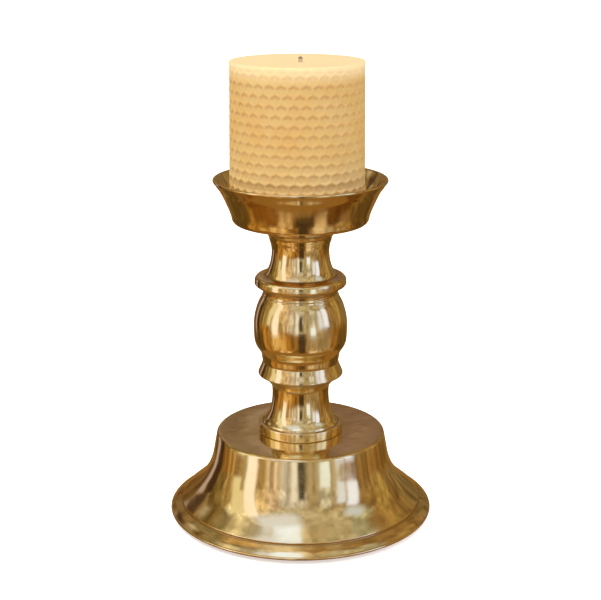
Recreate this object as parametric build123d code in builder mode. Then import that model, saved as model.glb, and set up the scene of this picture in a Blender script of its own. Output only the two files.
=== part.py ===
from build123d import *
from math import atan2, cos, degrees, radians, sin
import os

# A brass pillar candlestick: a bell-shaped base, a three-piece turned stem and a drip pan, all clamped
# on one threaded rod, with a pricket that carries a beeswax pillar candle.
# Millimetres, +Z up. The origin is the centre of the base's rim, at the height of the table.
# Outlines are drawn as (radius, height) and turned round the Z axis.

# Heights at which one casting ends and the next begins
BASE_H = 41.4
KNOP_Z = 76.5
UPPER_Z = 110.8
PAN_Z = 144.2
PAN_TOP = 165.0

# Base
BASE_R = 63.6
RIM_H = 2.9
FOOTPRINT_R = 58.9
FLARE_LOW = (57.9, 8.0)
FLARE_TURN = (52.7, 12.4)
FLARE_TOP = (42.4, 30.5)
PLATE_R = 40.4
PLATE_EDGE = 1.8
BASE_WALL = 2.4

# Stem
FOOT_R = 20.3
NECK_R = 13.6
LOWER_RING_R = 20.3
WAIST_R = 18.15
KNOP_R = 22.25
COLLAR_R = 17.8
UPPER_RING_R = 21.8
SADDLE_R = 18.6
CORE_R = 10.4
CORE_KNOP_R = 18.6
WEB = 3.0
SPIGOT_H = 1.6
SPIGOT_GAP = 0.1
MOUTH_R = 14.0

# Drip pan
PAN_FLOOR_R = 29.4
PAN_CORNER = (32.1, 146.5)
PAN_WAIST = (37.75, 160.0)
PAN_R = 40.5
PAN_WALL = 1.4

# M8 rod and its fittings
ROD_R = 4.0
ROD_BORE_R = 4.4
THREAD_PITCH = 1.25
THREAD_DEPTH = 0.6
THREAD_GAP = 0.05
ROD_PROUD = 2.0
WASHER_R = 14.0
WASHER_T = 1.6
LOCK_R = 6.8
LOCK_T = 1.8
NUT_FLATS = 13.0
NUT_H = 6.5

# Pricket
PRICKET_FLATS = 17.0
PRICKET_NUT_H = 5.2
SOCKET_H = 5.6
SEAT_R = 12.0
SEAT_T = 1.8
SPIKE_R = 2.6
SPIKE_TIP_R = 0.5
SPIKE_H = 27.4

# Candle, pushed on the spike a little off its own centre
CANDLE_X = -1.5
CANDLE_R = 31.6
CANDLE_TOP_R = 30.9
CANDLE_TOP = 218.8
CANDLE_EDGE = 2.2
POOL_R = 24.0
POOL_DEPTH = 0.7
SPIKE_CLEARANCE = 0.3
WICK_R = 1.0
WICK_GAP = 0.05
WICK_PROUD = 1.9
WICK_TAIL = 2.0

# Heights that follow from the sizes above
PLATE_UNDER = BASE_H - BASE_WALL
WASHER_Z = PLATE_UNDER - WASHER_T
LOCK_Z = WASHER_Z - LOCK_T
NUT_Z = LOCK_Z - NUT_H
ROD_BOTTOM = NUT_Z - ROD_PROUD
PAN_FLOOR = PAN_Z + PAN_WALL
ROD_TOP = PAN_FLOOR + SOCKET_H - 0.3
SEAT_Z = PAN_FLOOR + PRICKET_NUT_H + SEAT_T
SPIKE_TOP = SEAT_Z + SPIKE_H


def along(point, heading, length):
    """The point at a length from another, in a heading in degrees."""
    return (point[0] + length * cos(radians(heading)), point[1] + length * sin(radians(heading)))


def beside(point, heading, gap):
    """The point at a gap to the left of a line that runs through a point in a heading in degrees."""
    return along(point, heading + 90, gap)


def heading_between(start, end):
    return degrees(atan2(end[1] - start[1], end[0] - start[0]))


def direction(heading):
    return along((0, 0), heading, 1)


# --- Base: a bell with a beaded rim, a straight flare that turns up into a wall and a flat top plate ---

rim_tip = (BASE_R, RIM_H)
rim_under = (BASE_R - 0.7, RIM_H - 0.8)
rim_over = (BASE_R - 0.7, RIM_H + 0.6)
bead_top = (59.1, 6.3)
bead_groove = (57.9, 7.0)
flare_heading = heading_between(FLARE_LOW, FLARE_TURN)
wall_heading = 2 * heading_between(FLARE_TURN, FLARE_TOP) - flare_heading
inner_turn = beside(FLARE_TURN, flare_heading, BASE_WALL)
inner_top = beside(FLARE_TOP, wall_heading, BASE_WALL)
inner_rim = along(inner_turn, flare_heading, -6.0)
plate_under_r = PLATE_R - BASE_WALL

with BuildPart() as base:
    with BuildSketch(Plane.XZ):
        with BuildLine():
            Polyline((inner_rim[0], 0), (FOOTPRINT_R, 0), rim_under)
            ThreePointArc(rim_under, rim_tip, rim_over)
            ThreePointArc(rim_over, (61.0, 5.1), bead_top)
            Polyline(bead_top, bead_groove, FLARE_LOW, FLARE_TURN)
            TangentArc(FLARE_TURN, FLARE_TOP, tangent=direction(flare_heading))
            Polyline(FLARE_TOP, (PLATE_R, BASE_H), (ROD_BORE_R, BASE_H), (ROD_BORE_R, PLATE_UNDER))
            Polyline((ROD_BORE_R, PLATE_UNDER), (plate_under_r, PLATE_UNDER), inner_top)
            TangentArc(inner_turn, inner_top, tangent=direction(flare_heading))
            Polyline(inner_turn, inner_rim, (inner_rim[0], 0))
        outline = make_face()
        fillet(outline.vertices().sort_by_distance((PLATE_R, BASE_H))[0], radius=PLATE_EDGE)
    revolve(axis=Axis.Z)
base.part.label = "base"

# --- Lower stem: a foot flange, a neck that flares out of it and a ring with a sharp lower edge ---

foot_top = BASE_H + 4.7
foot_groove = (18.4, foot_top - 0.3)
flare_foot = (18.0, foot_top + 0.7)
neck_flare = (14.5, BASE_H + 11.0)
neck = (NECK_R, BASE_H + 19.0)
neck_high = (13.85, BASE_H + 23.0)
ring_edge = (LOWER_RING_R, BASE_H + 29.0)
ring_slope = (19.6, BASE_H + 31.2)

with BuildPart() as lower_stem:
    with BuildSketch(Plane.XZ):
        with BuildLine():
            Polyline((ROD_BORE_R, BASE_H), (FOOT_R - 0.4, BASE_H), (FOOT_R, BASE_H + 0.4), (FOOT_R, foot_top))
            Polyline((FOOT_R, foot_top), (foot_groove[0], foot_top), foot_groove, flare_foot)
            neck_arc = TangentArc(neck, neck_flare, tangent=(0, -1))
            TangentArc(neck_flare, flare_foot, tangent=neck_arc % 1)
            TangentArc(neck, neck_high, tangent=(0, 1))
            ThreePointArc(neck_high, (16.3, BASE_H + 26.2), (ring_edge[0] - 0.4, ring_edge[1] - 0.3))
            Polyline((ring_edge[0] - 0.4, ring_edge[1] - 0.3), ring_edge, (LOWER_RING_R, ring_edge[1] + 0.4))
            Line((LOWER_RING_R, ring_edge[1] + 0.4), ring_slope)
            ThreePointArc(ring_slope, (18.65, BASE_H + 33.4), (WAIST_R, KNOP_Z))
            Polyline((WAIST_R, KNOP_Z), (MOUTH_R, KNOP_Z), (MOUTH_R, KNOP_Z - 3.0), (CORE_R, KNOP_Z - 8.0))
            Polyline((CORE_R, KNOP_Z - 8.0), (CORE_R, BASE_H + 12.0), (MOUTH_R, BASE_H + 5.0))
            Polyline((MOUTH_R, BASE_H + 5.0), (MOUTH_R, BASE_H + WEB), (ROD_BORE_R, BASE_H + WEB))
            Line((ROD_BORE_R, BASE_H + WEB), (ROD_BORE_R, BASE_H))
        outline = make_face()
        fillet(outline.vertices().sort_by_distance((FOOT_R, foot_top))[0], radius=0.7)
        fillet(outline.vertices().sort_by_distance((CORE_R, KNOP_Z - 8.0))[0], radius=2.0)
        fillet(outline.vertices().sort_by_distance((CORE_R, BASE_H + 12.0))[0], radius=2.0)
    revolve(axis=Axis.Z)
lower_stem.part.label = "lower_stem"

# --- Knop: the ball, hollow inside, with a spigot that centres it in the mouth of the lower stem ---

ball_low = (18.8, KNOP_Z + 4.2)
ball_high = (18.3, UPPER_Z - 2.0)
ball_swell = [(21.3, KNOP_Z + 8.6), (KNOP_R, KNOP_Z + 14.6), (21.75, UPPER_Z - 10.8), (20.0, UPPER_Z - 5.1)]
spigot_r = MOUTH_R - SPIGOT_GAP
core_low = (11.4, KNOP_Z - SPIGOT_H)
core_high = (MOUTH_R, UPPER_Z)

with BuildPart() as knop:
    with BuildSketch(Plane.XZ):
        with BuildLine():
            Polyline(core_low, (spigot_r, KNOP_Z - SPIGOT_H), (spigot_r, KNOP_Z), (WAIST_R, KNOP_Z), ball_low)
            Spline(ball_low, *ball_swell, ball_high, tangents=[(0.35, 1), (-0.6, 1)])
            Polyline(ball_high, (ball_high[0], UPPER_Z - 1.4), (COLLAR_R, UPPER_Z - 0.9), (COLLAR_R, UPPER_Z))
            Polyline((COLLAR_R, UPPER_Z), core_high, (MOUTH_R, UPPER_Z - 4.0))
            ThreePointArc((MOUTH_R, UPPER_Z - 4.0), (CORE_KNOP_R, KNOP_Z + 15.5), (13.0, KNOP_Z + 4.5))
            Polyline((13.0, KNOP_Z + 4.5), (core_low[0], KNOP_Z + 2.0), core_low)
        make_face()
    revolve(axis=Axis.Z)
knop.part.label = "knop"

# --- Upper stem: a short collar, the upper ring, a neck that flares on to it and the saddle under the pan ---

ring_base = (COLLAR_R, UPPER_Z + 0.7)
ring_low = (21.2, UPPER_Z + 3.4)
upper_brow = (21.6, UPPER_Z + 6.4)
upper_shoulder = (19.4, UPPER_Z + 8.1)
sweep_foot = (17.2, UPPER_Z + 8.3)
upper_flare = (14.45, UPPER_Z + 13.6)
upper_neck = (NECK_R, UPPER_Z + 19.8)
saddle_low = (14.7, PAN_Z - 8.0)
saddle_edge = (17.4, PAN_Z - 3.6)

with BuildPart() as upper_stem:
    with BuildSketch(Plane.XZ):
        with BuildLine():
            Polyline((CORE_R, UPPER_Z - SPIGOT_H), (spigot_r, UPPER_Z - SPIGOT_H), (spigot_r, UPPER_Z))
            Polyline((spigot_r, UPPER_Z), (COLLAR_R, UPPER_Z), ring_base)
            ThreePointArc(ring_base, (19.1, UPPER_Z + 2.0), ring_low)
            Polyline(ring_low, (UPPER_RING_R, UPPER_Z + 4.2), upper_brow)
            ThreePointArc(upper_brow, (20.8, UPPER_Z + 7.5), upper_shoulder)
            Line(upper_shoulder, sweep_foot)
            upper_arc = TangentArc(upper_neck, upper_flare, tangent=(0, -1))
            TangentArc(upper_flare, sweep_foot, tangent=upper_arc % 1)
            TangentArc(upper_neck, saddle_low, tangent=(0, 1))
            ThreePointArc(saddle_low, (15.5, PAN_Z - 5.5), saddle_edge)
            Polyline(saddle_edge, (SADDLE_R, PAN_Z - 3.2), (SADDLE_R, PAN_Z), (ROD_BORE_R, PAN_Z))
            Polyline((ROD_BORE_R, PAN_Z), (ROD_BORE_R, PAN_Z - WEB), (CORE_R, PAN_Z - WEB))
            Line((CORE_R, PAN_Z - WEB), (CORE_R, UPPER_Z - SPIGOT_H))
        make_face()
    revolve(axis=Axis.Z)
upper_stem.part.label = "upper_stem"

# --- Drip pan: a flat floor, a wall that leans out and a rim that flares to a rounded lip ---

lip_low = (PAN_R - 0.1, PAN_TOP - 1.3)
lip_in = (PAN_R - 1.2, PAN_TOP - 0.6)
inner_waist = (PAN_WAIST[0] - 1.4, PAN_WAIST[1] + 0.4)
inner_corner = (PAN_CORNER[0] - PAN_WALL, PAN_CORNER[1] + 0.5)

with BuildPart() as drip_pan:
    with BuildSketch(Plane.XZ):
        with BuildLine():
            Line((ROD_BORE_R, PAN_Z), (PAN_FLOOR_R, PAN_Z))
            TangentArc((PAN_FLOOR_R, PAN_Z), PAN_CORNER, tangent=(1, 0))
            Spline(PAN_CORNER, (33.1, 150.0), (35.05, 154.6), PAN_WAIST, tangents=[(0.15, 1), (0.6, 1)])
            ThreePointArc(PAN_WAIST, (39.05, 161.7), lip_low)
            ThreePointArc(lip_low, (PAN_R - 0.55, PAN_TOP), lip_in)
            ThreePointArc(lip_in, (37.75, 162.4), inner_waist)
            inner_wall = [inner_waist, (33.65, 155.0), (31.7, 150.2), inner_corner]
            Spline(*inner_wall, tangents=[(-0.6, -1), (-0.15, -1)])
            TangentArc((PAN_FLOOR_R - 0.8, PAN_FLOOR), inner_corner, tangent=(1, 0))
            Polyline((PAN_FLOOR_R - 0.8, PAN_FLOOR), (ROD_BORE_R, PAN_FLOOR), (ROD_BORE_R, PAN_Z))
        make_face()
    revolve(axis=Axis.Z)
drip_pan.part.label = "drip_pan"

# --- Pricket: a hexagon with a blind threaded socket, a round seat for the candle and the spike ---

with BuildPart() as pricket:
    with BuildSketch(Plane.XY.offset(PAN_FLOOR)):
        RegularPolygon(radius=PRICKET_FLATS / 2, side_count=6, major_radius=False)
    extrude(amount=PRICKET_NUT_H)
    with BuildSketch(Plane.XY.offset(PAN_FLOOR + PRICKET_NUT_H)):
        Circle(SEAT_R)
    extrude(amount=SEAT_T)
    chamfer(pricket.edges().group_by(Axis.Z)[-1], length=0.4)
    with BuildSketch(Plane.XY.offset(PAN_FLOOR)):
        Circle(ROD_R + THREAD_GAP)
    extrude(amount=SOCKET_H, mode=Mode.SUBTRACT)
    with BuildSketch(Plane.XZ):
        with BuildLine():
            Polyline((0, SEAT_Z - 0.2), (SPIKE_R + 1.0, SEAT_Z - 0.2), (SPIKE_R + 1.0, SEAT_Z))
            RadiusArc((SPIKE_R + 1.0, SEAT_Z), (SPIKE_R, SEAT_Z + 1.0), 1.0)
            Line((SPIKE_R, SEAT_Z + 1.0), (SPIKE_TIP_R, SPIKE_TOP - 0.5))
            RadiusArc((SPIKE_TIP_R, SPIKE_TOP - 0.5), (0, SPIKE_TOP), -SPIKE_TIP_R)
            Line((0, SPIKE_TOP), (0, SEAT_Z - 0.2))
        make_face()
    revolve(axis=Axis.Z)
pricket.part.label = "pricket"

# --- Tie rod: M8, plain in the middle, with ring grooves for the threads at both ends ---

thread_low = [ROD_BOTTOM + THREAD_PITCH * (n + 1) for n in range(14)]
thread_high = [ROD_TOP - THREAD_PITCH * (n + 1) for n in range(5)]

with BuildPart() as tie_rod:
    with BuildSketch(Plane.XY.offset(ROD_BOTTOM)):
        Circle(ROD_R)
    extrude(amount=ROD_TOP - ROD_BOTTOM)
    chamfer(tie_rod.edges().filter_by(GeomType.CIRCLE), length=0.6)
    with BuildSketch(Plane.XZ):
        for height in thread_low + thread_high:
            with BuildLine():
                Polyline(
                    (ROD_R + 0.1, height - 0.5),
                    (ROD_R + 0.1, height + 0.5),
                    (ROD_R - THREAD_DEPTH, height),
                    close=True,
                )
            make_face()
    revolve(axis=Axis.Z, mode=Mode.SUBTRACT)
tie_rod.part.label = "tie_rod"

# --- Washer, split lock washer and nut that draw the rod up from inside the base ---

with BuildPart() as base_washer:
    with BuildSketch(Plane.XY.offset(WASHER_Z)):
        Circle(WASHER_R)
        Circle(ROD_BORE_R, mode=Mode.SUBTRACT)
    extrude(amount=WASHER_T)
    chamfer(base_washer.edges().filter_by(GeomType.CIRCLE).sort_by(SortBy.RADIUS)[-2:], length=0.3)
base_washer.part.label = "base_washer"

with BuildPart() as lock_washer:
    with BuildSketch(Plane.XY.offset(LOCK_Z)):
        Circle(LOCK_R)
        Circle(ROD_R + 0.2, mode=Mode.SUBTRACT)
    extrude(amount=LOCK_T)
    with BuildSketch(Plane.XZ.offset(-LOCK_R - 1)):
        with Locations((0, LOCK_Z + LOCK_T / 2)):
            Rectangle(0.8, 2 * LOCK_T, rotation=-20)
    extrude(amount=LOCK_R + 1, mode=Mode.SUBTRACT)
lock_washer.part.label = "lock_washer"

with BuildPart() as base_nut:
    with BuildSketch(Plane.XY.offset(NUT_Z)):
        RegularPolygon(radius=NUT_FLATS / 2, side_count=6, major_radius=False)
    extrude(amount=NUT_H)
    with BuildSketch(Plane.XZ):
        with BuildLine():
            Polyline(
                (0, NUT_Z),
                (NUT_FLATS / 2 - 0.1, NUT_Z),
                (NUT_FLATS / 2 + 1.6, NUT_Z + 1.0),
                (NUT_FLATS / 2 + 1.6, LOCK_Z - 1.0),
                (NUT_FLATS / 2 - 0.1, LOCK_Z),
                (0, LOCK_Z),
                close=True,
            )
        make_face()
    revolve(axis=Axis.Z, mode=Mode.INTERSECT)
    with BuildSketch(Plane.XY.offset(NUT_Z)):
        Circle(ROD_R + THREAD_GAP)
    extrude(amount=NUT_H, mode=Mode.SUBTRACT)
base_nut.part.label = "base_nut"

# --- Candle: a pillar with a shallow melt pool, a hole for the spike and a channel for the wick ---

hole_top = SPIKE_TOP + 1.0

candle_centre = Vector(CANDLE_X, 0, 0)

with BuildPart() as candle:
    with BuildSketch(Plane(candle_centre, x_dir=(1, 0, 0), z_dir=(0, -1, 0))):
        with BuildLine():
            TangentArc((0, CANDLE_TOP - POOL_DEPTH), (POOL_R, CANDLE_TOP), tangent=(1, 0))
            Polyline((POOL_R, CANDLE_TOP), (CANDLE_TOP_R, CANDLE_TOP), (CANDLE_R, SEAT_Z), (0, SEAT_Z))
            Line((0, SEAT_Z), (0, CANDLE_TOP - POOL_DEPTH))
        outline = make_face()
        fillet(outline.vertices().sort_by_distance((CANDLE_R, SEAT_Z))[0], radius=CANDLE_EDGE)
        fillet(outline.vertices().sort_by_distance((CANDLE_TOP_R, CANDLE_TOP))[0], radius=1.0)
    revolve(axis=Axis(candle_centre, (0, 0, 1)))
    with BuildSketch(Plane.XZ):
        with BuildLine():
            Polyline(
                (0, SEAT_Z - 1.0),
                (SPIKE_R + 1.0 + SPIKE_CLEARANCE, SEAT_Z - 1.0),
                (SPIKE_R + 1.0 + SPIKE_CLEARANCE, SEAT_Z + 1.3),
                (SPIKE_R + SPIKE_CLEARANCE, SEAT_Z + 2.0),
                (WICK_R + WICK_GAP, hole_top),
                (WICK_R + WICK_GAP, CANDLE_TOP + 1.0),
                (0, CANDLE_TOP + 1.0),
                close=True,
            )
        make_face()
    revolve(axis=Axis.Z, mode=Mode.SUBTRACT)
candle.part.label = "candle"

# --- Wick: a round cord from above the spike's tip to a short stub over the wax ---

with BuildPart() as wick:
    with BuildSketch(Plane.XY.offset(hole_top + WICK_TAIL)):
        Circle(WICK_R)
    extrude(amount=CANDLE_TOP + WICK_PROUD - hole_top - WICK_TAIL)
    fillet(wick.edges().group_by(Axis.Z)[-1], radius=0.4)
wick.part.label = "wick"

os.makedirs("parts", exist_ok=True)
pieces = [base, lower_stem, knop, upper_stem, drip_pan, pricket, tie_rod]
pieces += [base_washer, lock_washer, base_nut, candle, wick]
for piece in pieces:
    export_step(piece.part, f"parts/{piece.part.label}.step")
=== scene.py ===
"""A polished brass pillar candlestick with a honeycomb beeswax candle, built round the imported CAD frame."""

from math import ceil, cos, degrees, inf, pi, radians, sin

import bmesh
import bpy
import numpy as np
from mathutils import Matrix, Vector


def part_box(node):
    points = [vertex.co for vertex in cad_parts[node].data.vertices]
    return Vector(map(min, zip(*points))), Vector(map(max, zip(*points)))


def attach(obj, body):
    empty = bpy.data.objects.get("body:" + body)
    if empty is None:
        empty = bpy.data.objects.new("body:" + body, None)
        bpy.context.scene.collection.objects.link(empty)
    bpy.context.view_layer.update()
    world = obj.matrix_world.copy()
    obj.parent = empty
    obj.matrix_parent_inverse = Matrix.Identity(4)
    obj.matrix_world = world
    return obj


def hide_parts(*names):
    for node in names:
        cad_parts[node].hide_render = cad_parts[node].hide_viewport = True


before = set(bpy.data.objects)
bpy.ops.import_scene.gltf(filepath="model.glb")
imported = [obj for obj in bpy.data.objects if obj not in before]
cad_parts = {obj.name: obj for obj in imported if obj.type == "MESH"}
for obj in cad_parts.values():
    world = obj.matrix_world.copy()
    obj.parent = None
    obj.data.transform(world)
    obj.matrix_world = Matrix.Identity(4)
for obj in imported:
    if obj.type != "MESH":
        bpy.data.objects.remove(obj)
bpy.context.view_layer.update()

MM = 0.001

# Turned pieces, in millimetres and degrees
SEAM_WIDTH = 0.001  # how near the seam's plane, and how far from the axis, a seam's vertices lie
SMOOTH_STEP = 4.0  # the most that a curve turns from one point to the next
CORNER_TURN = 14.0  # an outline that turns more than this at a point has a corner there
CORNER_SIZE = 0.22
CORNER_SHARE = 0.45  # the most of the line beside a corner that its easing takes
CORNER_STEPS = 4
TURN_SEGMENTS = 288
GROOVE_REACH = 1.1  # a groove is judged against the outline this far before and after it
GROOVE_DEPTH = 0.32

# A casting keeps its rough skin where its outward normal points more than this much inwards or down
CAST_INWARD = 0.2
CAST_DOWNWARD = 0.6
CAST_FADE = 0.2

# Honeycomb on the candle, in millimetres and degrees
CELLS_ROUND = 35
SAMPLES_PER_CELL = 14
ROW_PITCH = 4.354
FIRST_ROW_DROP = 5.48
FIRST_CELL_ANGLE = 2.24
CELL_LEAN = 0.019  # degrees that the columns turn in each millimetre down
CELL_DEPTH = 0.6
CELL_FLOOR = 0.4  # a cell's sides slope between these shares of its half width
CELL_RIM = 1.0
CELL_STRETCH = 0.88  # under 1, so the cells run together a little sideways
HEXAGON = 3**0.5 / 2  # a regular honeycomb's row height over its column width
# SHADOW_REACH: how far above and below a point the cells are compared, for the painted shadow under their
# lips
SHADOW_REACH = 1.0
PLAIN_BAND = 1.3  # the cells start this far under the candle's top, over the height of the fade
BAND_FADE = 1.0
PLAIN_FOOT = 2.0
SIDE_STEP = 0.45
SIDE_MARGIN = 2.0

# The candle stands off the stem's axis, but its hole is on it, so its rings shift between these radii
HOLE_CLEAR = 4.5
WAX_CENTRED = 12.0

# Wick, in millimetres and degrees
WICK_STRANDS = 3
WICK_SEGMENTS = 36
WICK_TWIST = 75
WICK_STEP = 0.12
WICK_LOBES = 0.2
WICK_ROUNDING = 0.5
WICK_LAST_RING = 0.05  # the last full ring and the end's centre lie at least this far under the top
WICK_TIP = 0.04

# The brown card that the brass mirrors round its foot, in metres
CARD_RADIUS = 0.12
CARD_SIDES = 64

# Floor and lights, in metres
FLOOR_HALF = 8.0
LIT_HEIGHT = 0.12

# Camera, in metres and degrees, with its lens and sensor in millimetres
CAMERA_DISTANCE = 0.6282
CAMERA_HEIGHT = 0.2869
CAMERA_PITCH = 16.04
CAMERA_LENS = 82.6
SENSOR_WIDTH = 36.0
NEAREST_SEEN = 0.01


# --- Outlines, taken from the frame ---


def seam_lines(node):
    """The lines of a CAD node's mesh that lie on its seam: {(start, end): (start normal, end normal)}."""
    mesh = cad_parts[node].data
    places = [v.co / MM for v in mesh.vertices]
    on_seam = [abs(p.y) < SEAM_WIDTH and p.x > SEAM_WIDTH for p in places]
    lines = {}
    for face in mesh.polygons:
        loops = list(face.loop_indices)
        for first, second in zip(loops, loops[1:] + loops[:1]):
            a = mesh.loops[first].vertex_index
            b = mesh.loops[second].vertex_index
            if not (on_seam[a] and on_seam[b]):
                continue
            ends = [(round(places[i].x, 3), round(places[i].z, 3)) for i in (a, b)]
            normals = [mesh.corner_normals[i].vector for i in (first, second)]
            if ends[0] != ends[1] and (ends[1], ends[0]) not in lines:
                lines[tuple(ends)] = [np.array((n.x, n.z)) for n in normals]
    return lines


def seam_loop(node):
    """A node's seam in order, as a list of (start, end, start normal, end normal)."""
    lines = seam_lines(node)
    links = {}
    for (start, end), (start_normal, end_normal) in lines.items():
        links.setdefault(start, []).append((end, start_normal, end_normal))
        links.setdefault(end, []).append((start, end_normal, start_normal))
    first = max(links)
    here, came_from = first, None
    loop = []
    while here != first or not loop:
        onward = [link for link in links[here] if link[0] != came_from]
        end, start_normal, end_normal = onward[0]
        loop.append((np.array(here), np.array(end), start_normal, end_normal))
        here, came_from = end, here
    return loop


def turned_heading(normal, chord):
    """The heading at right angles to a normal, on the side that a chord goes."""
    heading = np.array((-normal[1], normal[0]))
    heading /= np.linalg.norm(heading)
    return heading if heading @ chord > 0 else -heading


def angle_between(first, second):
    """The angle in degrees between two headings of length 1."""
    return degrees(np.arccos(np.clip(first @ second, -1, 1)))


def smooth_outline(node):
    """A node's outline with its curves filled in between the frame's points, and whether each is a corner."""
    points = []
    corner = []
    previous = None
    for start, end, start_normal, end_normal in seam_loop(node):
        chord = end - start
        length = np.linalg.norm(chord)
        leave = turned_heading(start_normal, chord)
        arrive = turned_heading(end_normal, chord)
        steps = max(1, ceil(angle_between(leave, arrive) / SMOOTH_STEP))
        corner.append(previous is None or angle_between(previous, leave) > CORNER_TURN)
        corner += [False] * (steps - 1)
        for t in np.arange(steps) / steps:
            points.append(
                (1 + t * t * (2 * t - 3)) * start
                + t * t * (3 - 2 * t) * end
                + length * (t * (t - 1) ** 2 * leave + t * t * (t - 1) * arrive)
            )
        previous = arrive
    return np.array(points), corner


def ease_corners(points, corner):
    """Rounds an outline's corners over a short length, as a polished edge is."""
    eased = []
    count = len(points)
    for i in range(count):
        here = points[i]
        if not corner[i]:
            eased.append(here)
            continue
        back = points[i - 1] - here
        on = points[(i + 1) % count] - here
        back *= min(CORNER_SIZE / np.linalg.norm(back), CORNER_SHARE)
        on *= min(CORNER_SIZE / np.linalg.norm(on), CORNER_SHARE)
        for t in np.linspace(0, 1, CORNER_STEPS + 1):
            eased.append(here + (1 - t) ** 2 * back + t**2 * on)
    return np.array(eased)


def facing_out(points):
    """The outline in the order that puts its solid on the left, so that turned faces point outwards."""
    r, z = points.T
    area = np.sum(r * np.roll(z, -1) - np.roll(r, -1) * z)
    return points if area > 0 else points[::-1]


def outline_facts(points):
    """Each outline point's distance along it, its outward normal and how deep it lies in a groove."""
    ahead = np.roll(points, -1, axis=0)
    lengths = np.linalg.norm(ahead - points, axis=1)
    run = np.concatenate(([0.0], np.cumsum(lengths)[:-1]))
    total = lengths.sum()
    heading = ahead - np.roll(points, 1, axis=0)
    heading /= np.linalg.norm(heading, axis=1)[:, None]
    normal = np.column_stack((heading[:, 1], -heading[:, 0]))

    def place(distance):
        r = np.interp(distance, run, points[:, 0], period=total)
        z = np.interp(distance, run, points[:, 1], period=total)
        return np.column_stack((r, z))

    middle = (place(run - GROOVE_REACH) + place(run + GROOVE_REACH)) / 2
    groove = np.sum((middle - points) * normal, axis=1) / GROOVE_DEPTH
    return run, normal, np.clip(groove, -1, 1)


# --- Meshes ---


def even_angles(count):
    """Angles spaced evenly over one turn, in radians."""
    return np.arange(count) * 2 * pi / count


def level_ring(x, y, z):
    """A ring of points that all lie at one height."""
    return np.column_stack((x, y, np.full(len(x), z)))


def turned_mesh(name, rings, segments):
    """A closed mesh through rings of points, each ring an array of (x, y, z) in millimetres."""
    count = len(rings)
    verts = np.concatenate(rings) * MM
    ring, step = np.meshgrid(np.arange(count), np.arange(segments), indexing="ij")
    next_ring = (ring + 1) % count
    next_step = (step + 1) % segments
    corners = (
        ring * segments + step,
        ring * segments + next_step,
        next_ring * segments + next_step,
        next_ring * segments + step,
    )
    faces = np.stack(corners, axis=-1).reshape(-1, 4)
    mesh = bpy.data.meshes.new(name)
    mesh.from_pydata(verts.tolist(), [], faces.tolist())
    mesh.update()
    mesh.shade_smooth()
    return mesh


def weld_ends(mesh):
    """Joins the vertices that share a place on the axis, and drops what lay between the two ends."""
    shape = bmesh.new()
    shape.from_mesh(mesh)
    bmesh.ops.remove_doubles(shape, verts=shape.verts, dist=1e-7)
    loose = [edge for edge in shape.edges if not edge.link_faces]
    bmesh.ops.delete(shape, geom=loose, context="EDGES")
    shape.to_mesh(mesh)
    shape.free()
    mesh.shade_smooth()


def add_attribute(mesh, name, values):
    """Stores one number for each vertex, for the materials to read."""
    stored = mesh.attributes.new(name, "FLOAT", "POINT")
    stored.data.foreach_set("value", np.asarray(values, dtype=np.float32))


def add_object(name, data):
    """A new object in the scene that shows a mesh, light or camera."""
    holder = bpy.data.objects.new(name, data)
    bpy.context.scene.collection.objects.link(holder)
    return holder


def place_piece(name, mesh, body, nodes, material):
    """Adds a finished mesh to the scene, and says what it rides on, what it replaces and its finish."""
    piece = add_object(name, mesh)
    mesh.materials.append(material)
    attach(piece, body)
    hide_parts(*nodes)


def brass_piece(node, material, cast_inside):
    """A turned brass piece: its frame outline with eased corners, swept round the Z axis."""
    points = facing_out(ease_corners(*smooth_outline(node)))
    run, normal, groove = outline_facts(points)
    cast = np.zeros(len(points))
    if cast_inside:
        inward, downward = -normal.T
        cast = np.clip(np.maximum(inward - CAST_INWARD, downward - CAST_DOWNWARD) / CAST_FADE, 0, 1)
    angles = even_angles(TURN_SEGMENTS)
    rings = [level_ring(r * np.cos(angles), r * np.sin(angles), z) for r, z in points]
    mesh = turned_mesh(node + "_turned", rings, TURN_SEGMENTS)
    for name, values in (("run", run), ("groove", groove), ("cast", cast)):
        add_attribute(mesh, name, np.repeat(values, TURN_SEGMENTS))
    place_piece(node + "_turned", mesh, "stand", [node], material)


# --- Candle ---


def smoothstep(low, high, value):
    """Rises smoothly from 0 to 1 as a value goes from low to high."""
    t = np.clip((value - low) / (high - low), 0, 1)
    return t * t * (3 - 2 * t)


def cell_depth(angles, height, top):
    """How far the honeycomb has sunk at one height, from 0 on the ridges to 1 on a cell's floor."""
    row = (top - FIRST_ROW_DROP - height) / ROW_PITCH
    lean = FIRST_CELL_ANGLE + CELL_LEAN * (top - height)
    column = (np.degrees(angles) - lean) * CELLS_ROUND / 360
    nearest = np.full(len(angles), inf)
    for candidate in (np.floor(row), np.floor(row) + 1):
        offset = 0.5 if int(candidate) % 2 else 0.0
        across = CELL_STRETCH * np.abs((column - offset + 0.5) % 1 - 0.5)
        down = abs(row - candidate) * HEXAGON
        nearest = np.minimum(nearest, 2 * np.maximum(across, across / 2 + down * HEXAGON))
    hollow = 1 - smoothstep(CELL_FLOOR, CELL_RIM, nearest)
    return hollow * smoothstep(PLAIN_BAND, PLAIN_BAND + BAND_FADE, top - height)


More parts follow.
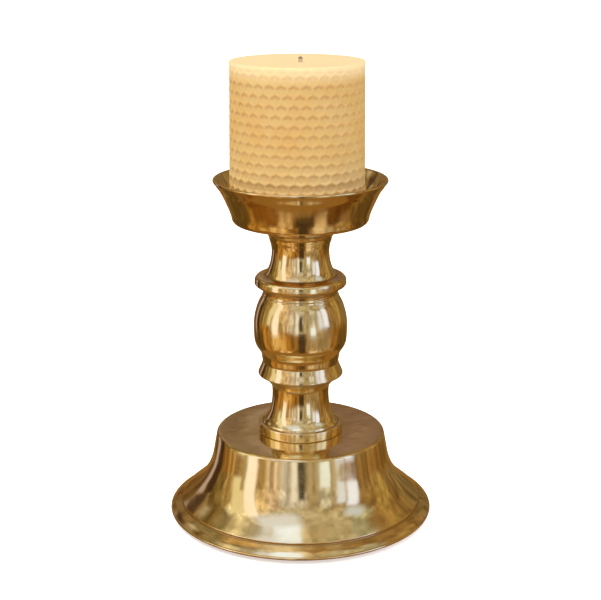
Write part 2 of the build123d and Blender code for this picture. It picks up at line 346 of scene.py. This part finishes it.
def candle_piece(material):
    """The pillar: smooth top and bottom, a side pressed with cells, and a hole for the spike."""
    low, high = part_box("candle")
    top = high.z / MM
    bottom = low.z / MM
    axis_x = (low.x + high.x) / 2 / MM
    side = high.x / MM - SIDE_MARGIN
    segments = CELLS_ROUND * SAMPLES_PER_CELL
    angles = even_angles(segments)
    points = facing_out(ease_corners(*smooth_outline("candle")))
    rings = []
    painted_shadows = []
    for start, end in zip(points, np.roll(points, -1, axis=0)):
        on_side = min(start[0], end[0]) > side and abs(end[1] - start[1]) > SIDE_STEP
        steps = ceil(np.linalg.norm(end - start) / SIDE_STEP) if on_side else 1
        for t in np.arange(steps) / steps:
            r, z = start + t * (end - start)
            centre = axis_x * smoothstep(HOLE_CLEAR, WAX_CENTRED, r)
            hollow = np.zeros(segments)
            painted_shadow = hollow
            if on_side and bottom + PLAIN_FOOT < z:
                hollow = cell_depth(angles, z, top)
                # Painted shadow: where a cell deepens going down, its upper wall lies under the lip, and the
                # wax colour is darkened there
                below = cell_depth(angles, z - SHADOW_REACH, top)
                above = cell_depth(angles, z + SHADOW_REACH, top)
                painted_shadow = np.clip(below - above, 0, 1)
            inward = r - centre - CELL_DEPTH * hollow
            rings.append(level_ring(centre + inward * np.sin(angles), -inward * np.cos(angles), z))
            painted_shadows.append(painted_shadow)
    mesh = turned_mesh("candle_wax", rings, segments)
    add_attribute(mesh, "painted_shadow", np.concatenate(painted_shadows))
    place_piece("candle_wax", mesh, "candle_body", ["candle"], material)


def wick_piece(material):
    """The wick: three strands twisted together, with a blunt burnt end."""
    low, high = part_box("wick")
    radius = (high.x - low.x) / 2 / MM
    bottom = low.z / MM
    top = high.z / MM
    angles = even_angles(WICK_SEGMENTS)
    axis = np.zeros(WICK_SEGMENTS)
    rings = [level_ring(axis, axis, bottom)]
    for z in np.arange(bottom, top - WICK_LAST_RING, WICK_STEP):
        lobes = np.abs(np.cos((angles - radians(WICK_TWIST) * z) * WICK_STRANDS / 2))
        rounding = min(1.0, ((top - z) / WICK_ROUNDING) ** 0.5)
        r = radius * (1 - WICK_LOBES + WICK_LOBES * lobes) * rounding
        rings.append(level_ring(r * np.cos(angles), r * np.sin(angles), z))
    rings.append(level_ring(axis, axis, top - WICK_TIP))
    mesh = turned_mesh("wick_cord", rings, WICK_SEGMENTS)
    weld_ends(mesh)
    place_piece("wick_cord", mesh, "candle_body", ["wick"], material)


# --- Shader helpers ---


def feed(tree, socket, value):
    """Links a socket to another socket, or sets it to a plain value."""
    if isinstance(value, bpy.types.NodeSocket):
        tree.links.new(value, socket)
    else:
        socket.default_value = value


def calculate(tree, operation, *values):
    node = tree.nodes.new("ShaderNodeMath")
    node.operation = operation
    for socket, value in zip(node.inputs, values):
        feed(tree, socket, value)
    return node.outputs[0]


def ramp(tree, value, from_low, from_high, to_low=0.0, to_high=1.0):
    """Goes smoothly from to_low to to_high as a value goes from from_low to from_high."""
    node = tree.nodes.new("ShaderNodeMapRange")
    node.interpolation_type = "SMOOTHSTEP"
    for socket, amount in zip(node.inputs, (value, from_low, from_high, to_low, to_high)):
        feed(tree, socket, amount)
    return node.outputs[0]


def blend_colours(tree, amount, first, second, blend_type="MIX"):
    node = tree.nodes.new("ShaderNodeMix")
    node.data_type = "RGBA"
    node.blend_type = blend_type
    feed(tree, node.inputs[0], amount)
    feed(tree, node.inputs[6], first)
    feed(tree, node.inputs[7], second)
    return node.outputs[2]


def noise(tree, vector, scale, detail=3.0, roughness=0.5):
    node = tree.nodes.new("ShaderNodeTexNoise")
    feed(tree, node.inputs["Vector"], vector)
    feed(tree, node.inputs["Scale"], scale)
    feed(tree, node.inputs["Detail"], detail)
    feed(tree, node.inputs["Roughness"], roughness)
    return node.outputs["Fac"]


def rings_noise(tree, run, scale, detail):
    """Noise that changes only along the outline, so it makes rings round a turned piece."""
    node = tree.nodes.new("ShaderNodeTexNoise")
    node.noise_dimensions = "1D"
    feed(tree, node.inputs["W"], run)
    feed(tree, node.inputs["Scale"], scale)
    feed(tree, node.inputs["Detail"], detail)
    return node.outputs["Fac"]


def attribute(tree, name):
    node = tree.nodes.new("ShaderNodeAttribute")
    node.attribute_name = name
    return node.outputs["Fac"]


def split_axes(tree, vector):
    """The x, y and z of a vector."""
    node = tree.nodes.new("ShaderNodeSeparateXYZ")
    tree.links.new(vector, node.inputs[0])
    return node.outputs


def bump(tree, height, distance, normal=None):
    """A normal that follows a height, on top of another normal if one is given."""
    node = tree.nodes.new("ShaderNodeBump")
    feed(tree, node.inputs["Strength"], 1.0)
    feed(tree, node.inputs["Distance"], distance)
    feed(tree, node.inputs["Height"], height)
    if normal:
        feed(tree, node.inputs["Normal"], normal)
    return node.outputs["Normal"]


def new_material(name):
    """A node material, its tree and its Principled shader."""
    material = bpy.data.materials.new(name)
    material.use_nodes = True
    tree = material.node_tree
    return material, tree, tree.nodes["Principled BSDF"]


def object_place(tree):
    """Each point's place on its own object, in metres, which moves with the object."""
    return tree.nodes.new("ShaderNodeTexCoord").outputs["Object"]


# --- Materials ---

BRASS_LIGHT = (0.89, 0.73, 0.43, 1)
BRASS_DEEP = (0.85, 0.66, 0.34, 1)
BRASS_TARNISH = (0.30, 0.17, 0.06, 1)
BRASS_CAST = (0.42, 0.29, 0.13, 1)

WAX_DEEP = (0.52, 0.325, 0.105, 1)
WAX_LIGHT = (0.53, 0.37, 0.15, 1)
# Painted light: paler wax at the foot, near the pan
WAX_FOOT_PAINTED_LIGHT = (0.78, 0.58, 0.29, 1)
# Painted shade under each cell's upper lip
WAX_PAINTED_SHADE = (0.40, 0.20, 0.055, 1)
# Painted light: paler wax at the top
WAX_TOP_PAINTED_LIGHT = (0.80, 0.65, 0.40, 1)

COTTON_DARK = (0.46, 0.37, 0.25, 1)
COTTON_LIGHT = (0.64, 0.54, 0.40, 1)
COTTON_CHAR = (0.17, 0.135, 0.10, 1)

FLOOR_COLOUR = (0.93, 0.93, 0.92, 1)
FLOOR_GLOW = (1.0, 1.0, 1.0, 1)


def polished_brass():
    """Hand-polished brass: mirror bright, faintly wavy, with turning marks, smudges and tarnished grooves."""
    material, tree, shader = new_material("polished_brass_turned")
    place = object_place(tree)
    run = attribute(tree, "run")
    groove = attribute(tree, "groove")
    cast = attribute(tree, "cast")

    blotch = noise(tree, place, scale=32.0, detail=4.0, roughness=0.6)
    smudge = noise(tree, place, scale=75.0, detail=5.0, roughness=0.65)
    marks = rings_noise(tree, run, scale=3.2, detail=4.0)
    colour = blend_colours(tree, ramp(tree, blotch, 0.35, 0.7), BRASS_LIGHT, BRASS_DEEP)
    tarnish = calculate(tree, "MULTIPLY", ramp(tree, groove, 0.35, 1.0), 0.6)
    colour = blend_colours(tree, tarnish, colour, BRASS_TARNISH)
    colour = blend_colours(tree, calculate(tree, "MULTIPLY", cast, 0.55), colour, BRASS_CAST)
    feed(tree, shader.inputs["Base Color"], colour)

    roughness = ramp(tree, smudge, 0.42, 0.8, 0.075, 0.2)
    roughness = calculate(tree, "ADD", roughness, ramp(tree, marks, 0.45, 0.75, 0.0, 0.05))
    roughness = calculate(tree, "ADD", roughness, calculate(tree, "MULTIPLY", tarnish, 0.3))
    roughness = calculate(tree, "ADD", roughness, calculate(tree, "MULTIPLY", cast, 0.35))
    feed(tree, shader.inputs["Roughness"], roughness)

    wave = noise(tree, place, scale=62.0, detail=2.0)
    sand = calculate(tree, "MULTIPLY", noise(tree, place, scale=1600.0), cast)
    normal = bump(tree, wave, 0.00022)
    normal = bump(tree, marks, 0.000006, normal)
    normal = bump(tree, sand, 0.00012, normal)
    feed(tree, shader.inputs["Normal"], normal)

    tangent = tree.nodes.new("ShaderNodeTangent")
    tangent.direction_type = "RADIAL"
    tangent.axis = "Z"
    tree.links.new(tangent.outputs[0], shader.inputs["Tangent"])
    shader.inputs["Metallic"].default_value = 1.0
    shader.inputs["Anisotropic"].default_value = 0.45
    shader.inputs["Anisotropic Rotation"].default_value = 0.25
    return material


def machined_metal(name, colour, worn, roughness, mark_scale):
    """Machined metal for the fittings: fine tool marks and a little staining."""
    material, tree, shader = new_material(name)
    place = object_place(tree)
    stain = ramp(tree, noise(tree, place, scale=180.0, detail=5.0, roughness=0.6), 0.4, 0.75)
    feed(tree, shader.inputs["Base Color"], blend_colours(tree, stain, colour, worn))
    marks = noise(tree, place, mark_scale, detail=4.0, roughness=0.7)
    feed(tree, shader.inputs["Roughness"], ramp(tree, marks, 0.3, 0.8, roughness, roughness + 0.2))
    feed(tree, shader.inputs["Normal"], bump(tree, marks, 0.00002))
    shader.inputs["Metallic"].default_value = 1.0
    return material


def beeswax():
    """Honey-coloured wax with painted light at its top and foot and painted shade under each cell's upper
    lip, softly shiny.
    """
    material, tree, shader = new_material("beeswax_honeycomb")
    place = object_place(tree)
    painted_shadow = attribute(tree, "painted_shadow")
    height = split_axes(tree, place)["Z"]
    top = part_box("candle")[1].z
    pan_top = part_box("drip_pan")[1].z

    cloud = noise(tree, place, scale=45.0, detail=4.0, roughness=0.55)
    grain = noise(tree, place, scale=900.0, detail=4.0, roughness=0.6)
    colour = blend_colours(tree, ramp(tree, cloud, 0.3, 0.7), WAX_DEEP, WAX_LIGHT)
    # Painted light: the wax is made paler near the pan, where the pan keeps light off it
    foot = ramp(tree, height, pan_top - 0.012, pan_top + 0.014, 1.0, 0.0)
    colour = blend_colours(tree, foot, colour, WAX_FOOT_PAINTED_LIGHT)
    # Painted shade under each cell's upper lip, made weaker near the pan
    painted_shade_strength = ramp(tree, height, pan_top - 0.006, pan_top + 0.034, 0.12, 0.62)
    colour = blend_colours(tree, calculate(tree, "MULTIPLY", painted_shadow, painted_shade_strength), colour, WAX_PAINTED_SHADE)
    # Painted light: the top is made paler, as the flame and the light from above brighten it
    pale = ramp(tree, height, top - 0.009, top)
    colour = blend_colours(tree, calculate(tree, "MULTIPLY", pale, 0.75), colour, WAX_TOP_PAINTED_LIGHT)
    feed(tree, shader.inputs["Base Color"], colour)
    feed(tree, shader.inputs["Roughness"], ramp(tree, grain, 0.3, 0.7, 0.42, 0.58))
    normal = bump(tree, noise(tree, place, scale=260.0), 0.00012)
    feed(tree, shader.inputs["Normal"], bump(tree, grain, 0.00003, normal))
    shader.inputs["Subsurface Weight"].default_value = 0.35
    shader.inputs["Subsurface Radius"].default_value = (0.0030, 0.0016, 0.0007)
    shader.inputs["Subsurface Scale"].default_value = 1.0
    shader.inputs["IOR"].default_value = 1.44
    return material


def cotton_wick():
    """Waxed cotton, grey-tan, turning to char at its tip."""
    material, tree, shader = new_material("cotton_wick_waxed")
    place = object_place(tree)
    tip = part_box("wick")[1].z
    fibres = noise(tree, place, scale=3500.0, detail=4.0, roughness=0.7)
    cord = blend_colours(tree, fibres, COTTON_DARK, COTTON_LIGHT)
    char = ramp(tree, split_axes(tree, place)["Z"], tip - 0.0016, tip - 0.0004)
    feed(tree, shader.inputs["Base Color"], blend_colours(tree, char, cord, COTTON_CHAR))
    feed(tree, shader.inputs["Normal"], bump(tree, fibres, 0.00006))
    shader.inputs["Roughness"].default_value = 0.75
    return material


# --- Surroundings ---

ALL_ROUND = (-190, 190)

# Screens round the object, each drawn over the ones before it: azimuths (0 points at the camera, plus is to
# the right in its picture), elevations and soft edge in degrees, and colour. The walls come first, with the
# room's clutter on them.
WALLS = [
    # Table straight below, then walls, then ceiling
    (ALL_ROUND, (-95, -72), 6, (0.80, 0.66, 0.45)),
    (ALL_ROUND, (-10, 95), 6, (0.31, 0.20, 0.08)),
    ((-190, -90), (34, 95), 9, (0.26, 0.21, 0.11)),
    ((-88, 76), (34, 95), 9, (0.58, 0.54, 0.42)),
    ((-165, -100), (56, 72), 6, (0.75, 0.50, 0.22)),
    (ALL_ROUND, (74, 95), 7, (0.84, 0.74, 0.56)),
    ((24, 120), (74, 95), 5, (0.46, 0.32, 0.14)),
    # Left side
    ((-106, -88), (-10, 34), 4, (0.46, 0.34, 0.15)),
    ((-122, -106), (-10, 40), 4, (0.22, 0.15, 0.05)),
    ((-165, -122), (-14, 8), 4, (0.17, 0.09, 0.03)),
    ((-165, -122), (8, 26), 4, (0.27, 0.185, 0.08)),
    ((-98, -66), (30, 54), 5, (0.92, 0.86, 0.64)),
    ((-57, -43), (6, 46), 3, (0.98, 0.80, 0.52)),
    ((-57, -43), (-12, 6), 3, (0.57, 0.43, 0.21)),
    # Straight ahead
    ((-43, -25), (-12, 40), 3, (0.78, 0.64, 0.52)),
    ((-25, 9), (-12, 36), 3, (0.68, 0.68, 0.72)),
    # Right side
    ((9, 24), (-12, 36), 2.5, (0.45, 0.39, 0.27)),
    ((24, 40), (2, 36), 3, (0.72, 0.76, 0.80)),
    ((40, 58), (-12, 30), 3, (0.50, 0.46, 0.38)),
    ((76, 97), (34, 60), 5, (0.56, 0.58, 0.48)),
    ((100, 122), (-4, 37), 5, (0.42, 0.30, 0.11)),
    ((138, 165), (-14, 30), 5, (0.22, 0.155, 0.065)),
    # Table: the room again, dimmer and warmer
    ((-122, -22), (-36, -10), 6, (0.46, 0.23, 0.045)),
    ((-76, -38), (-34, -12), 5, (0.68, 0.44, 0.16)),
    ((16, 80), (-36, -10), 5, (0.40, 0.30, 0.17)),
    ((-60, -24), (-50, -34), 4, (0.80, 0.52, 0.26)),
    ((48, 92), (-46, -32), 5, (0.56, 0.47, 0.32)),
    ((-118, -14), (-66, -46), 4, (0.23, 0.09, 0.014)),
    ((14, 128), (-66, -46), 4, (0.15, 0.062, 0.010)),
    ((-108, -60), (-44, -36), 4, (0.42, 0.21, 0.04)),
    ((60, 122), (-44, -33), 4, (0.36, 0.22, 0.07)),
    ((-16, 26), (-70, -60), 1.5, (0.66, 0.46, 0.20)),
    ((-46, -17), (-60, -46), 2.5, (0.62, 0.42, 0.20)),
    ((-155, -104), (-44, -14), 6, (0.13, 0.075, 0.02)),
    ((104, 155), (-44, -14), 6, (0.14, 0.08, 0.02)),
    # Behind
    ((-190, -150), (14, 34), 6, (0.36, 0.27, 0.21)),
    ((150, 190), (14, 34), 6, (0.24, 0.16, 0.12)),
]
WINDOWS = [
    # Ceiling: a wide panel with a brighter patch
    ((-66, -2), (48, 68), 8, (0.82, 0.90, 1.18)),
    ((-50, 2), (66, 80), 5, (1.03, 1.25, 1.85)),
    # Left side, from the back: a dark doorway with a lit edge, then two tall windows with a frame between
    ((-143, -127), (14, 24), 2.5, (0.09, 0.05, 0.03)),
    ((-131, -121), (-16, 14), 2.5, (0.06, 0.03, 0.015)),
    ((-142, -134), (-18, 12), 2, (0.52, 0.42, 0.42)),
    ((-132, -122), (28, 36), 3, (0.60, 0.53, 0.40)),
    ((-90, -73), (-5, 42), 2.5, (0.90, 0.84, 0.60)),
    ((-79, -74), (-12, 12), 1.5, (0.45, 0.38, 0.18)),
    ((-73, -57), (-16, 48), 2.5, (1.24, 1.16, 1.25)),
    # Straight ahead: a bright strip, and beside it the gap that the camera looks through
    ((-12, -5), (-10, 26), 1.5, (1.0, 1.0, 1.1)),
    ((-4, 8), (-8, 10), 1.5, (0.30, 0.26, 0.17)),
    ((-3, 5), (-4, 22), 1.5, (0.07, 0.06, 0.045)),
    # Right side: narrower windows
    ((24, 38), (-14, 2), 2.5, (1.0, 1.22, 1.65)),
    ((46, 57), (-3, 28), 2.5, (0.85, 1.0, 1.55)),
    ((59, 74), (-4, 32), 3, (1.0, 1.18, 1.9)),
    ((60, 84), (34, 46), 5, (0.66, 0.80, 1.15)),
    # Table: two bright panes, and the camera's dark shape, which widens at its foot
    ((24, 46), (-50, -34), 4, (0.90, 0.72, 0.50)),
    ((31, 56), (-57, -46), 3, (0.76, 0.58, 0.36)),
    ((-5, 14), (-53, -10), 2.5, (0.07, 0.042, 0.02)),
    ((-12, 27), (-60, -51), 2, (0.04, 0.028, 0.016)),
]
TABLE_COLOUR = (0.30, 0.15, 0.035, 1)

# The room's clutter: noise drawn out upright, which multiplies the walls, as (scale, darkest, lightest)
UPRIGHT = 0.16
CLUTTER = [
    (9.0, (0.66, 0.62, 0.56, 1), (1.32, 1.32, 1.34, 1)),
    (31.0, (0.72, 0.66, 0.56, 1), (1.22, 1.24, 1.26, 1)),
]

# What lights matt surfaces, from below and from above, and what the camera sees behind the object
SOFT_LIGHT_BELOW = (0.45, 0.43, 0.40, 1)
SOFT_LIGHT_ABOVE = (1.45, 1.42, 1.34, 1)
BACKDROP = (1.0, 1.0, 1.0, 1)


def soft_band(tree, value, low, high, edge):
    """1 between two limits and 0 outside them, with a soft edge."""
    rise = ramp(tree, value, low - edge, low + edge)
    fall = ramp(tree, value, high - edge, high + edge, 1.0, 0.0)
    return calculate(tree, "MULTIPLY", rise, fall)


def draw_screens(tree, screens, azimuth, elevation, colour):
    """Draws a list of screens over a colour."""
    for azimuths, elevations, edge, shade in screens:
        mask = soft_band(tree, elevation, *elevations, edge)
        if azimuths != ALL_ROUND:
            mask = calculate(tree, "MULTIPLY", mask, soft_band(tree, azimuth, *azimuths, edge))
        colour = blend_colours(tree, mask, colour, (*shade, 1))
    return colour


def draw_clutter(tree, direction, colour):
    """Multiplies a colour by noise that is drawn out upright."""
    squeeze = tree.nodes.new("ShaderNodeMapping")
    tree.links.new(direction, squeeze.inputs["Vector"])
    squeeze.inputs["Scale"].default_value = (1.0, 1.0, UPRIGHT)
    for scale, darkest, lightest in CLUTTER:
        level = ramp(tree, noise(tree, squeeze.outputs[0], scale, detail=2.0), 0.32, 0.68)
        shade = blend_colours(tree, level, darkest, lightest)
        colour = blend_colours(tree, 1.0, colour, shade, "MULTIPLY")
    return colour


def build_surroundings():
    """Soft white studio light, the screens that the brass reflects, and a plain white backdrop."""
    world = bpy.data.worlds.new("studio")
    bpy.context.scene.world = world
    world.use_nodes = True
    tree = world.node_tree
    direction = tree.nodes.new("ShaderNodeTexCoord").outputs["Generated"]
    x, y, z = split_axes(tree, direction)
    towards_camera = calculate(tree, "MULTIPLY", y, -1.0)
    azimuth = calculate(tree, "MULTIPLY", calculate(tree, "ARCTAN2", x, towards_camera), 180 / pi)
    elevation = calculate(tree, "MULTIPLY", calculate(tree, "ARCSINE", z), 180 / pi)
    colour = draw_screens(tree, WALLS, azimuth, elevation, TABLE_COLOUR)
    colour = draw_clutter(tree, direction, colour)
    colour = draw_screens(tree, WINDOWS, azimuth, elevation, colour)
    path = tree.nodes.new("ShaderNodeLightPath")
    soft_light = blend_colours(tree, ramp(tree, elevation, -5, 60), SOFT_LIGHT_BELOW, SOFT_LIGHT_ABOVE)
    colour = blend_colours(tree, path.outputs["Diffuse Depth"], colour, soft_light)
    colour = blend_colours(tree, path.outputs["Is Camera Ray"], colour, BACKDROP)
    tree.links.new(colour, tree.nodes["Background"].inputs["Color"])


def add_light(name, azimuth, elevation, distance, size, power, colour):
    """A square soft light that points at the middle of the object and doesn't show in the brass."""
    light = bpy.data.lights.new(name, "AREA")
    light.size = size
    light.energy = power
    light.color = colour
    holder = add_object(name, light)
    level = distance * cos(radians(elevation))
    height = distance * sin(radians(elevation))
    offset = Vector((level * sin(radians(azimuth)), -level * cos(radians(azimuth)), height))
    holder.location = Vector((0, 0, LIT_HEIGHT)) + offset
    holder.rotation_euler = (-offset).to_track_quat("-Z", "Y").to_euler()
    holder.visible_glossy = False
    holder.visible_camera = False


def flat_stage(name, outline, material):
    """A flat staging piece on the floor's level, with one face."""
    mesh = bpy.data.meshes.new(name)
    mesh.from_pydata([(x, y, 0.0) for x, y in outline], [], [list(range(len(outline)))])
    mesh.materials.append(material)
    piece = add_object(name, mesh)
    return piece


def build_floor():
    """A wide pale floor, which the brass doesn't mirror: it mirrors the screens."""
    material, _, shader = new_material("pale_floor")
    shader.inputs["Base Color"].default_value = FLOOR_COLOUR
    shader.inputs["Roughness"].default_value = 0.9
    shader.inputs["Specular IOR Level"].default_value = 0.0
    shader.inputs["Emission Color"].default_value = FLOOR_GLOW
    shader.inputs["Emission Strength"].default_value = 0.5
    corners = [(-1, -1), (1, -1), (1, 1), (-1, 1)]
    floor = flat_stage("floor", [(x * FLOOR_HALF, y * FLOOR_HALF) for x, y in corners], material)
    floor.visible_glossy = False


def build_table_card():
    """A brown card on the floor round the base, which shows only in the brass."""
    material, tree, _ = new_material("table_card")
    tree.nodes.clear()
    glow = tree.nodes.new("ShaderNodeEmission")
    glow.inputs["Color"].default_value = TABLE_COLOUR
    surface = tree.nodes.new("ShaderNodeOutputMaterial")
    tree.links.new(glow.outputs[0], surface.inputs["Surface"])
    rim = [(CARD_RADIUS * cos(angle), CARD_RADIUS * sin(angle)) for angle in even_angles(CARD_SIDES)]
    card = flat_stage("table_card", rim, material)
    card.visible_camera = False
    card.visible_diffuse = False
    card.visible_shadow = False
    card.visible_transmission = False


def build_camera():
    """The camera in front of the object, looking a little down at it."""
    camera = bpy.data.cameras.new("camera")
    camera.lens = CAMERA_LENS
    camera.sensor_width = SENSOR_WIDTH
    camera.sensor_fit = "HORIZONTAL"
    camera.clip_start = NEAREST_SEEN
    holder = add_object("camera", camera)
    holder.location = (0, -CAMERA_DISTANCE, CAMERA_HEIGHT)
    holder.rotation_euler = (radians(90 - CAMERA_PITCH), 0, 0)
    bpy.context.scene.camera = holder


# --- Assembly ---

brass = polished_brass()
for node in ("base", "lower_stem", "knop", "upper_stem"):
    brass_piece(node, brass, cast_inside=True)
brass_piece("drip_pan", brass, cast_inside=False)
candle_piece(beeswax())
wick_piece(cotton_wick())

# The fittings keep their CAD shapes. Each metal has a colour, a stained colour, a roughness and a mark scale.
plain_brass = machined_metal("turned_brass_plain", (0.80, 0.60, 0.27, 1), (0.55, 0.36, 0.14, 1), 0.22, 2400.0)
zinc_steel = machined_metal("zinc_steel_rod", (0.56, 0.57, 0.58, 1), (0.38, 0.36, 0.33, 1), 0.35, 1800.0)
spring_steel = machined_metal("spring_steel_dark", (0.30, 0.30, 0.31, 1), (0.20, 0.17, 0.14, 1), 0.38, 1500.0)
fittings = {
    "pricket": plain_brass,
    "tie_rod": zinc_steel,
    "lock_washer": spring_steel,
    "base_washer": zinc_steel,
    "base_nut": zinc_steel,
}
for node, material in fittings.items():
    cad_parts[node].material_slots[0].material = material

build_floor()
build_table_card()
build_surroundings()
add_light("key", azimuth=-38, elevation=62, distance=1.6, size=0.4, power=12.5, colour=(1.0, 0.86, 0.64))
add_light("fill", azimuth=50, elevation=30, distance=1.6, size=0.9, power=3.0, colour=(0.96, 0.98, 1.0))
build_camera()
bpy.context.scene.view_settings.view_transform = "Standard"
